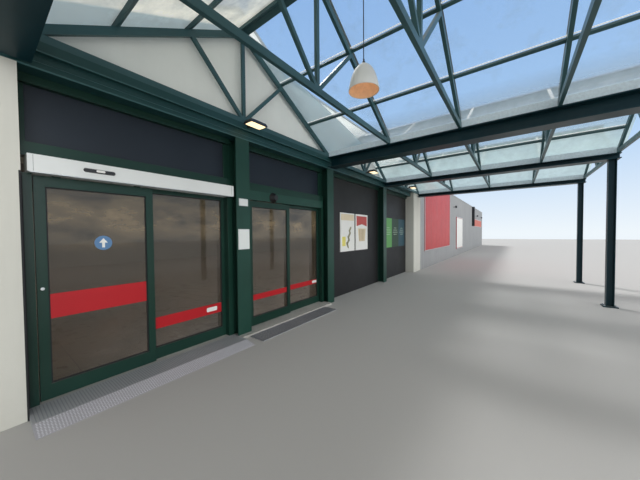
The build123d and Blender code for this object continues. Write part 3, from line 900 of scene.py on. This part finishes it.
def lozenge(bm, local, x, y, turn):
    """A raised lozenge with sloping sides, in a plate's local frame."""
    half_long, half_wide, tall, top_share = 0.0098, 0.0044, 0.0012, 0.55
    long = Vector((math.cos(turn), math.sin(turn), 0)) * half_long
    wide = Vector((-math.sin(turn), math.cos(turn), 0)) * half_wide
    centre, rise = Vector((x, y, 0)), Vector((0, 0, tall))
    base = [bm.verts.new(local @ (centre + p)) for p in (long, wide, -long, -wide)]
    top = [bm.verts.new(local @ (centre + p * top_share + rise)) for p in (long, wide, -long, -wide)]
    close_prism(bm, base, top)


def ramp_tread():
    """Raised lozenges on the sloping plate and ribs on the flat one behind it, dark to paint shade on the
    flat.
    """
    left, right = doorway_left, doorway_left + doorway_w
    lean = math.atan2(ramp_top - ramp_edge, ramp_fold - ramp_front)
    local = Matrix.Translation((0, ramp_front, ramp_edge)) @ Matrix.Rotation(lean, 4, "X")
    rows, first_row, row_pitch, pitch = 9, 0.013, 0.0205, 0.020
    lozenges = bmesh.new()
    for row in range(rows):
        for k in range(round((right - left) / pitch) - 1):
            turn = math.radians(45 if (row + k) % 2 else -45)
            lozenge(lozenges, local, left + pitch * (k + 1), first_row + row_pitch * row, turn)
    piece("ramp_lozenges", lozenges, worn_metal)
    count, margin, rib_w, rib_tall = 92, 0.020, 0.007, 0.0015
    ribs = bmesh.new()
    for k in range(count):
        x = left + margin + (right - left - 2 * margin) * k / count
        slab(ribs, x, x + rib_w, ramp_fold + 0.012, ramp_back - 0.010, ramp_top, ramp_top + rib_tall)
    piece("ramp_ribs", ribs, rib_shade_metal)


def sill_grating():
    """Bearing bars and cross rods on the second doorway's mat well."""
    x0, x1, y0, y1, base = 1.190, 3.120, -0.450, -0.150, 0.010
    edge_w, bar_half, rod_half = 0.012, 0.002, 0.0015
    edge_top, bar_top, rod_top = base + 0.005, base + 0.004, base + 0.003
    meshes_along, meshes_across = 60, 8
    bm = bmesh.new()
    for a, b, c, d in ((x0, x1, y0, y0 + edge_w), (x0, x1, y1 - edge_w, y1),
                       (x0, x0 + edge_w, y0, y1), (x1 - edge_w, x1, y0, y1)):
        slab(bm, a, b, c, d, base, edge_top)
    for k in range(1, meshes_along):
        x = x0 + (x1 - x0) * k / meshes_along
        slab(bm, x - bar_half, x + bar_half, y0 + edge_w, y1 - edge_w, base, bar_top)
    for k in range(1, meshes_across):
        y = y0 + (y1 - y0) * k / meshes_across
        slab(bm, x0 + edge_w, x1 - edge_w, y - rod_half, y + rod_half, base, rod_top)
    piece("sill_grating", bm, dark_metal)


ramp_tread()
sill_grating()


# Signs and posters

def poster_prints():
    """Plain coloured fields on the two white posters."""
    low, _ = corners_of("posters")
    w, h, gap, foot = 0.710, 0.990, 0.070, 1.095
    a, b, top = low.x, low.x + w + gap, foot + h
    prints = [("beige", 1, round_points(a + 0.03, a + w - 0.03, foot + 0.80, top - 0.03, 0.03)),
              ("yellow", 1, round_points(a + 0.08, a + 0.25, foot + 0.14, foot + 0.38, 0.02))]
    for k in range(6):
        turn = math.radians(50 if k % 2 else 125)
        leaf = oval(a + 0.34 + 0.030 * k, foot + 0.16 + 0.085 * k, 0.100 - 0.006 * k, 0.036, turn)
        prints.append(("olive", 1, leaf))
    left, right, side_foot = b + 0.05, b + w - 0.05, foot + 0.66
    prints.append(("red", 1, [(left, side_foot), (b + 0.36, foot + 0.72), (right, side_foot),
                              (right, top - 0.05), (left, top - 0.05)]))
    prints.append(("beige", 1, flared(b + 0.19, b + 0.53, foot + 0.24, foot + 0.60, 0.07)))
    for k in range(4):
        x = b + 0.20 + 0.085 * k
        prints.append(("straw", 2, flared(x, x + 0.045, foot + 0.25, foot + 0.58, 0.005)))
    for number, (tone, layer, points) in enumerate(prints):
        bm = bmesh.new()
        prism(bm, points, low.y - layer * print_film, low.y - (layer - 1) * print_film)
        piece("print_%02d" % number, bm, inks[tone])


def poster_sleeves():
    """Three coloured sleeves over the long poster, with four short pale bars on each."""
    low, high = corners_of("posters")
    tones = ("leaf", "forest", "slate")
    long_w, foot, top = 1.960, 1.065, 2.070
    bar_halves, bar_foot, bar_pitch, bar_tall = (0.15, 0.22, 0.18, 0.12), foot + 0.44, 0.075, 0.018
    left, third = high.x - long_w, long_w / len(tones)
    front = low.y - print_film
    marks = bmesh.new()
    for k, tone in enumerate(tones):
        x0, x1 = left + k * third, left + (k + 1) * third
        bm = bmesh.new()
        slab(bm, x0 - (print_film if k == 0 else 0), x1 + (print_film if tone == tones[-1] else 0),
             front, high.y - print_film, foot - print_film, top + print_film)
        piece("poster_" + tone, bm, inks[tone])
        middle = (x0 + x1) / 2
        for row, reach in enumerate(bar_halves):
            z = bar_foot + bar_pitch * row
            slab(marks, middle - reach, middle + reach, front - print_film, front, z, z + bar_tall)
    piece("poster_marks", marks, inks["pale"])


def plate_rims():
    """A raised rim and four screws on the number plate and on the notice."""
    low, high = corners_of("plates")
    x = (low.x + high.x) / 2
    number_plate, notice = (0.080, 0.0535, 2.0415), (0.100, 0.1525, 1.4845)
    rim_in, rim_w, rim_t = 0.004, 0.003, 0.001
    screw_in, screw_r, screw_t = 0.014, 0.004, 0.003
    bm = bmesh.new()
    for half_w, half_h, z in (number_plate, notice):
        ring(bm, x - half_w + rim_in, x + half_w - rim_in, z - half_h + rim_in, z + half_h - rim_in, rim_w,
             low.y - rim_t, low.y)
        for sx, sz in four_corners:
            at = (x + sx * (half_w - screw_in), low.y - rim_t, z + sz * (half_h - screw_in))
            rod(bm, at, (0, 1, 0), screw_r, screw_t)
    piece("plate_rims", bm, aluminium)


poster_prints()
poster_sleeves()
plate_rims()


# Wing

def upright_joints(name, middles, half_w, y0, y1, foot, top):
    bm = bmesh.new()
    for x in middles:
        slab(bm, x - half_w, x + half_w, y0, y1, foot, top)
    piece(name, bm, shadow_grey)


def red_panel_joints():
    x0, x1, foot, top = red_panel
    front, sheets = -0.200, 5
    middles = [x0 + (x1 - x0) * k / sheets for k in range(1, sheets)]
    upright_joints("red_panel_joints", middles, 0.003, front - 0.001, front, foot, top)


def panel_rims():
    bm = bmesh.new()
    for panel, width, front, back in ((red_panel, 0.030, -0.212, -0.198), (board, 0.045, -0.232, -0.218),
                                      (banner, 0.035, -0.210, -0.198)):
        ring(bm, *panel, width, front, back)
    piece("panel_rims", bm, aluminium, edge=0.002)


def blade_face():
    """A dark skin around the blade sign."""
    x0, x1, foot, top = blade
    skin, reach = 0.002, 0.222
    bm = bmesh.new()
    slab(bm, x0 - skin, x1 + skin, wing_front - reach, wing_front + 0.0005, foot - skin, top + skin)
    piece("blade_face", bm, black_plastic, edge=0.003)


def banner_face():
    x0, x1, foot, top = banner
    inset, front, back = 0.032, -0.2025, -0.1985
    bm = bmesh.new()
    slab(bm, x0 + inset, x1 - inset, front, back, foot + inset, top - inset)
    piece("banner_face", bm, banner_paint, edge=fine_edge)


def wing_wall_joints():
    middles = [wing_left + cap_pitch * (k + 1) for k in range(wing_caps)]
    upright_joints("wing_wall_joints", middles, 0.006, wing_front - film, wing_front + 0.0005, 0.02, 3.918)


def board_face():
    x0, x1, foot, top = board
    inset, radius, front, back = 0.070, 0.02, -0.224, -0.219
    bm = bmesh.new()
    prism(bm, round_points(x0 + inset, x1 - inset, foot + inset, top - inset, radius), front, back)
    piece("board_face", bm, paper)


def wing_cover_strips():
    """Cover strips over the joint between the entrance front and the wing."""
    strips = ((9.995, 0.030), (10.150, 0.060), (10.380, 0.025))
    front, back, foot, top = wing_front - 0.008, wing_front + 0.002, 0.02, 3.90
    bm = bmesh.new()
    for x, width in strips:
        slab(bm, x, x + width, front, back, foot, top)
    piece("wing_cover_strips", bm, capping, edge=0.002)


red_panel_joints()
panel_rims()
blade_face()
banner_face()
wing_wall_joints()
board_face()
wing_cover_strips()


# Lamps

def bell_lamp():
    """A spun bell shade, its rolled rim drawn as a flat ring, with a copper inside, a bulb in its holder and
    a cable gland.
    """
    x, y = bay(0)[0], -2.070
    rim, radius, tall, wall = 3.055, 0.160, 0.283, 0.003
    crown = rim + tall
    shares = ((1.0, 0.0), (0.985, 0.06), (0.955, 0.16), (0.915, 0.28), (0.865, 0.40), (0.80, 0.52),
              (0.715, 0.64), (0.60, 0.76), (0.46, 0.86), (0.30, 0.94), (0.16, 0.985), (0.07, 1.0))
    outer = [(radius * r, rim + tall * z) for r, z in shares]
    inner = [(radius - wall, rim)] + [(max(r - wall, 0.006), z - wall * 1.4) for r, z in outer[1:]]
    lining = [(r - 0.0012, z + 0.0005) for r, z in inner]
    gland = ((0.006, 0.050), (0.010, 0.046), (0.010, 0.020), (0.016, 0.018), (0.016, 0.002), (0.006, 0.0))
    holder = ((0.006, -0.008), (0.022, -0.012), (0.024, -0.070), (0.018, -0.076), (0.006, -0.076))
    glass = ((0.001, 0.0), (0.014, -0.002), (0.020, -0.022), (0.034, -0.045), (0.040, -0.068),
             (0.034, -0.092), (0.018, -0.106), (0.001, -0.109))

    def turned(name, profiles, finish, count):
        bm = bmesh.new()
        for profile in profiles:
            lathe(bm, x, y, profile, count)
        piece(name, bm, finish, smooth=True, stands_for=("pendant_lamp",))

    shell = outer + [(0.008, crown), (0.008, crown - 0.002)] + inner[::-1]
    fittings = [[(r, crown + z) for r, z in profile] for profile in (gland, holder)]
    bulb = [(r, crown + holder[-1][1] + z) for r, z in glass]
    turned("lamp_shade", [shell], lamp_grey, 48)
    # painted light: the lining glows
    turned("lamp_lining", [lining + [(r - 0.0008, z) for r, z in lining[::-1]]], copper, 48)
    turned("lamp_fitting", fittings, black_plastic, 24)
    turned("lamp_bulb", [bulb], bulb_glass, 32)


def cut_corners(x0, x1, y0, y1, cut):
    """The outline of a rectangle with its corners cut off."""
    return [(x0 + cut, y0), (x1 - cut, y0), (x1, y0 + cut), (x1, y1 - cut), (x1 - cut, y1), (x0 + cut, y1),
            (x0, y1 - cut), (x0, y0 + cut)]


def flood_parts():
    """Lit lenses under the floodlights and cooling fins on top of them."""
    middles, off_ridge, under, corner = (-0.280, -0.358, -0.438), 0.045, 3.160, 0.012
    lens_half_w, lens_half_d = 0.132, 0.074
    fin_count, fin_pitch, fin_half, fin_half_d = 9, 0.025, 0.0015, 0.055
    fin_foot, fin_top = under + 0.046, under + 0.058
    lenses, fins = bmesh.new(), bmesh.new()
    for i, y in enumerate(middles):
        x = bay(i)[0] + off_ridge
        outline = cut_corners(x - lens_half_w, x + lens_half_w, y - lens_half_d, y + lens_half_d, corner)
        flat_prism(lenses, outline, under - 0.003, under + 0.002)
        for k in range(fin_count):
            fin = x + fin_pitch * (k - (fin_count - 1) / 2)
            slab(fins, fin - fin_half, fin + fin_half, y - fin_half_d, y + fin_half_d, fin_foot, fin_top)
    piece("flood_lenses", lenses, warm_lens, edge=fine_edge)
    piece("flood_fins", fins, black_plastic)


bell_lamp()
flood_parts()


# Fixings and roof

def anchor_bolts():
    """Washers, nuts and threaded ends on the posts' feet."""
    foot_y = beam_front + 0.105
    bolt_off = 0.085
    washer, nut, thread = (0.022, 0.016, 0.004, 20), (0.029, 0.012, 0.010, 6), (0.038, 0.006, 0.014, 12)
    bm = bmesh.new()
    for x in beam_lines:
        for sx, sy in four_corners:
            for z, radius, length, sides in (washer, nut, thread):
                at = (x + sx * bolt_off, foot_y + sy * bolt_off, z)
                rod(bm, at, (0, 0, 1), radius, length, sides)
    piece("anchor_bolts", bm, aluminium, edge=0.0006)


def membrane_laps():
    """Welded laps in the roof membrane."""
    laps, first, pitch, half_w, roof_top, lap_t = 18, -0.05, 2.0, 0.05, 3.700, 0.004
    front_of_store, front_of_wing, back = 0.48, 0.12, 13.70
    bm = bmesh.new()
    for k in range(laps):
        x = first + pitch * k
        front = front_of_store if x < 10.3 else front_of_wing
        slab(bm, x - half_w, x + half_w, front, back, roof_top, roof_top + lap_t)
    piece("membrane_laps", bm, roofing, edge=fine_edge)


def cap_joints():
    """Cover pieces over the parapet caps' joints, along the back, the wing's front and both ends."""
    half_w, first_y, pitch_y = 0.04, 3.0, 2.2
    back, front = (building_left, back_caps, 13.668, 14.032), (wing_left, wing_caps, -0.212, 0.152)
    ends = ((-2.382, -2.018), (35.618, 35.982))
    bm = bmesh.new()
    for start, count, y0, y1 in (back, front):
        for k in range(count):
            x = start + cap_pitch * (k + 1)
            slab(bm, x - half_w, x + half_w, y0, y1, *cap_levels)
    for k in range(end_caps):
        y = first_y + pitch_y * k
        for x0, x1 in ends:
            slab(bm, x0, x1, y - half_w, y + half_w, *cap_levels)
    piece("cap_joints", bm, capping, edge=0.002)


anchor_bolts()
membrane_laps()
cap_joints()


# Surroundings

def make_ground():
    bpy.ops.mesh.primitive_plane_add(size=ground_size, location=ground_at)
    ground = bpy.context.object
    ground.name = "ground"
    mat, _, shader = material("pale_ground")
    feed(shader, {"Base Color": ground_colour, "Roughness": 0.9})
    ground.data.materials.append(mat)


def make_world():
    """White light all round; the camera, mirrors and glass see a pale blue sky instead."""
    world = bpy.data.worlds.new("studio")
    scene.world = world
    world.use_nodes = True
    tree = world.node_tree
    back = tree.nodes["Background"]
    feed(back, {"Color": (1, 1, 1), "Strength": world_strength})
    coords = tree.nodes.new("ShaderNodeTexCoord")
    parts = add(tree, "ShaderNodeSeparateXYZ", {"Vector": coords.outputs["Generated"]})
    sky = ramp(tree, parts.outputs["Z"], [(0.0, sky_low), (0.30, sky_mid), (0.85, sky_high)])
    seen = add(tree, "ShaderNodeBackground", {"Color": sky})
    path = tree.nodes.new("ShaderNodeLightPath")
    direct = maths(tree, "MAXIMUM", path.outputs["Is Camera Ray"], path.outputs["Is Transmission Ray"])
    direct = maths(tree, "MAXIMUM", direct, path.outputs["Is Glossy Ray"])
    mix = add(tree, "ShaderNodeMixShader", {"Fac": direct, 1: back.outputs["Background"],
                                            2: seen.outputs["Background"]})
    feed(tree.nodes["World Output"], {"Surface": mix.outputs["Shader"]})


def make_sun(name, strength, softness, towards):
    """A soft sun that shines from the given direction."""
    lamp = bpy.data.lights.new(name, "SUN")
    lamp.energy = strength
    lamp.angle = math.radians(softness)
    sun = bpy.data.objects.new(name, lamp)
    scene.collection.objects.link(sun)
    sun.rotation_euler = Vector(towards).to_track_quat("Z", "Y").to_euler()


def make_hall_light():
    """Even ceiling light in the hall, so that it shows behind the doors."""
    lamp = bpy.data.lights.new("hall", "AREA")
    lamp.shape = "RECTANGLE"
    lamp.size, lamp.size_y = hall_lamp_size
    lamp.energy = hall_power
    hall = bpy.data.objects.new("hall", lamp)
    scene.collection.objects.link(hall)
    hall.location = hall_lamp_at


def make_camera():
    """Heading is counted from +X towards +Y, pitch upwards, roll clockwise."""
    data = bpy.data.cameras.new("camera")
    data.lens = camera_lens
    data.sensor_width = sensor_width
    data.clip_start = clip_near
    data.clip_end = clip_far
    camera = bpy.data.objects.new("camera", data)
    scene.collection.objects.link(camera)
    turn = Matrix.Rotation(math.radians(camera_heading - 90), 4, "Z")
    tilt = Matrix.Rotation(math.radians(90 + camera_pitch), 4, "X")
    lean = Matrix.Rotation(math.radians(camera_roll), 4, "Z")
    camera.matrix_world = Matrix.Translation(camera_at) @ turn @ tilt @ lean
    scene.camera = camera


make_ground()
make_world()
make_sun("key", key_strength, key_softness, key_from)
make_sun("fill", fill_strength, fill_softness, fill_from)
make_hall_light()
make_camera()
scene.view_settings.view_transform = "Standard"
